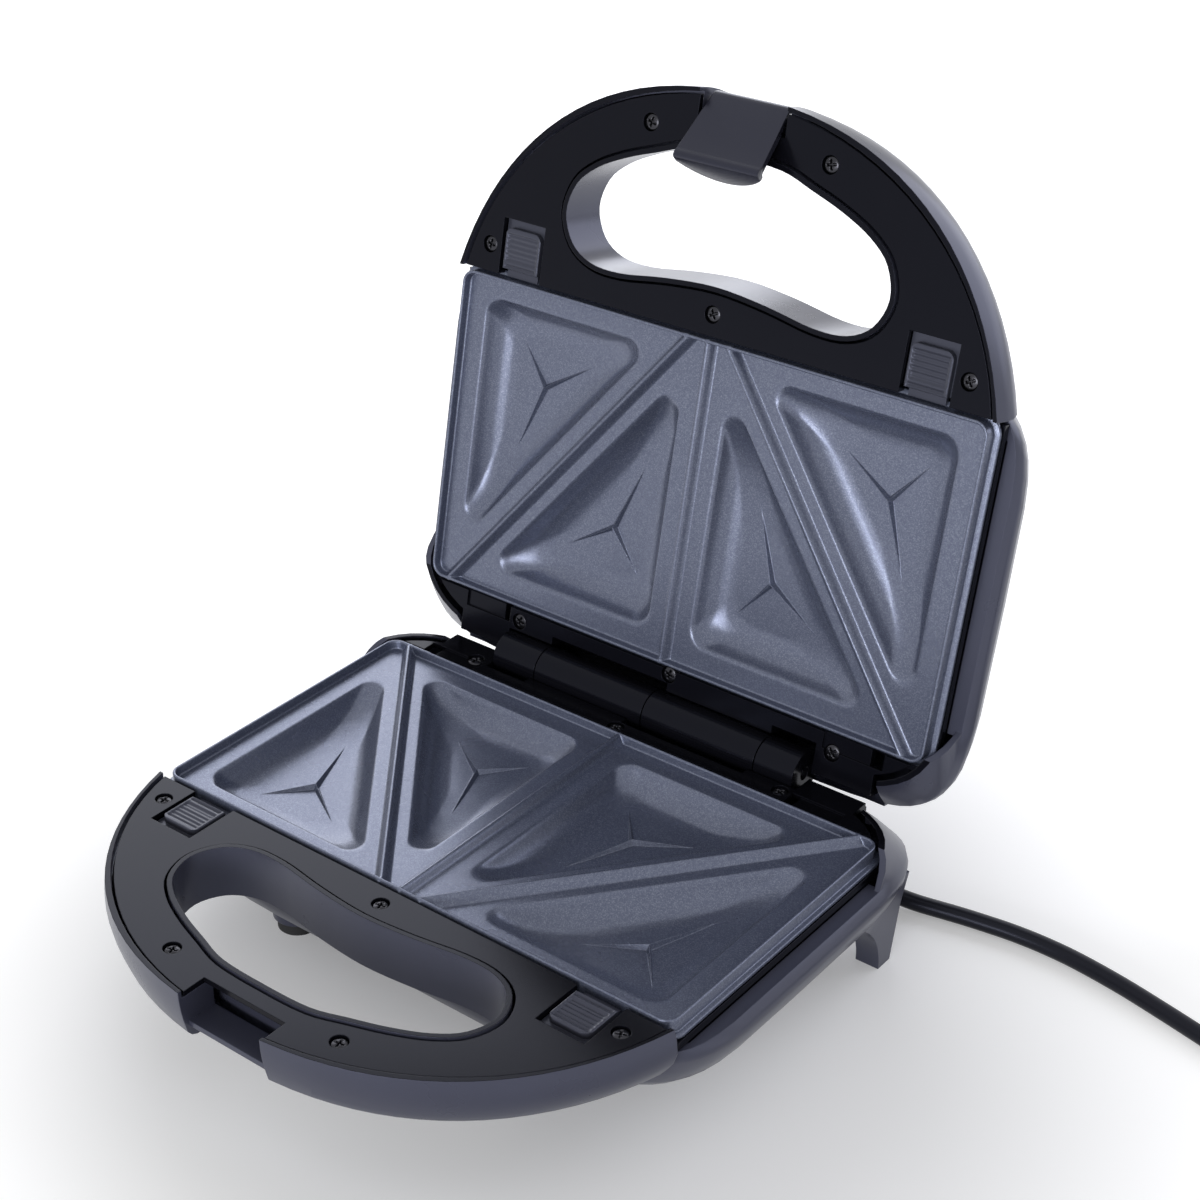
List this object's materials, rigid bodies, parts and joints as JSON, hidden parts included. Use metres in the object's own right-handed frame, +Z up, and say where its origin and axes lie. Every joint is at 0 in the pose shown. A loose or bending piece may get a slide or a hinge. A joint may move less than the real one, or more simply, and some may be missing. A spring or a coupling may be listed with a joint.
{
  "type": "sandwich toaster",
  "caption": "Two-plate sandwich toaster with a rear-hinged lid, triangular pocket plates held by sliding latches, loop handles, a front clip and a mains cord, modelled with the lid open",
  "frame": {"origin": "middle of the toaster's footprint on the table, without the cord", "axes": "X across the toaster to the user's right, Y from the front clip to the hinge, Z up"},
  "size_m": [0.4319, 0.3225, 0.2673],
  "materials": {
    "housing": "satin to glossy moulded plastic",
    "cover": "glossy moulded plastic",
    "plate": "speckled non-stick coating on a casting",
    "heater": "steel tube",
    "reflector": "bright sheet",
    "screw": "blackened steel",
    "latch": "satin moulded plastic",
    "clip": "satin moulded plastic",
    "foot": "matt rubber",
    "pin": "drawn steel",
    "red_lamp": "clear red lens",
    "green_lamp": "clear green lens",
    "cord": "smooth flexible sheath",
    "tie": "soft plastic strap",
    "plug": "moulded plastic",
    "contact": "nickel-plated brass"
  },
  "bodies": {
    "base": {"base_shell": "housing", "base_cover": "cover", "lower_plate": "plate", "lower_heater": "heater", "lower_reflector": "reflector", "base_cover_screws": "screw", "base_reflector_screws": "screw", "front_feet": "foot", "hinge_pin": "pin", "strain_relief": "cord", "cord": "cord", "cord_coil": "cord", "cord_tie": "tie", "plug": "plug", "plug_pins": "contact"},
    "lid": {"lid_shell": "housing", "lid_cover": "cover", "upper_plate": "plate", "upper_heater": "heater", "upper_reflector": "reflector", "lid_cover_screws": "screw", "lid_reflector_screws": "screw", "thermostat": "pin", "power_lamp": "red_lamp", "ready_lamp": "green_lamp", "clip_pin": "pin"},
    "clip": {"clip": "clip"},
    "base_latch_left": {"base_latch_left": "latch"},
    "base_latch_right": {"base_latch_right": "latch"},
    "lid_latch_left": {"lid_latch_left": "latch"},
    "lid_latch_right": {"lid_latch_right": "latch"}
  },
  "joints": [
    {"name": "lid_hinge", "type": "hinge", "parent": "base", "child": "lid", "pos_m": [0, 0.082, 0.047], "axis": [1, 0, 0], "range_deg": [0, 100.6]},
    {"name": "clip_swing", "type": "hinge", "parent": "lid", "child": "clip", "pos_m": [0, 0.13024, 0.26128], "axis": [1, 0, 0], "range_deg": [-70, 0]},
    {"name": "base_latch_left_slide", "type": "slide", "parent": "base", "child": "base_latch_left", "axis": [0, -1, 0], "range_m": [0, 0.003], "stiffness_N_per_m": 800, "springref_m": -0.002},
    {"name": "base_latch_right_slide", "type": "slide", "parent": "base", "child": "base_latch_right", "axis": [0, -1, 0], "range_m": [0, 0.003], "stiffness_N_per_m": 800, "springref_m": -0.002},
    {"name": "lid_latch_left_slide", "type": "slide", "parent": "lid", "child": "lid_latch_left", "axis": [0, 0.184, 0.9829], "range_m": [0, 0.003], "stiffness_N_per_m": 800, "springref_m": -0.002},
    {"name": "lid_latch_right_slide", "type": "slide", "parent": "lid", "child": "lid_latch_right", "axis": [0, 0.184, 0.9829], "range_m": [0, 0.003], "stiffness_N_per_m": 800, "springref_m": -0.002}
  ],
  "couplings": [
    {"joint": "clip_swing", "follows": "lid_hinge", "ratio": -0.66998}
  ]
}
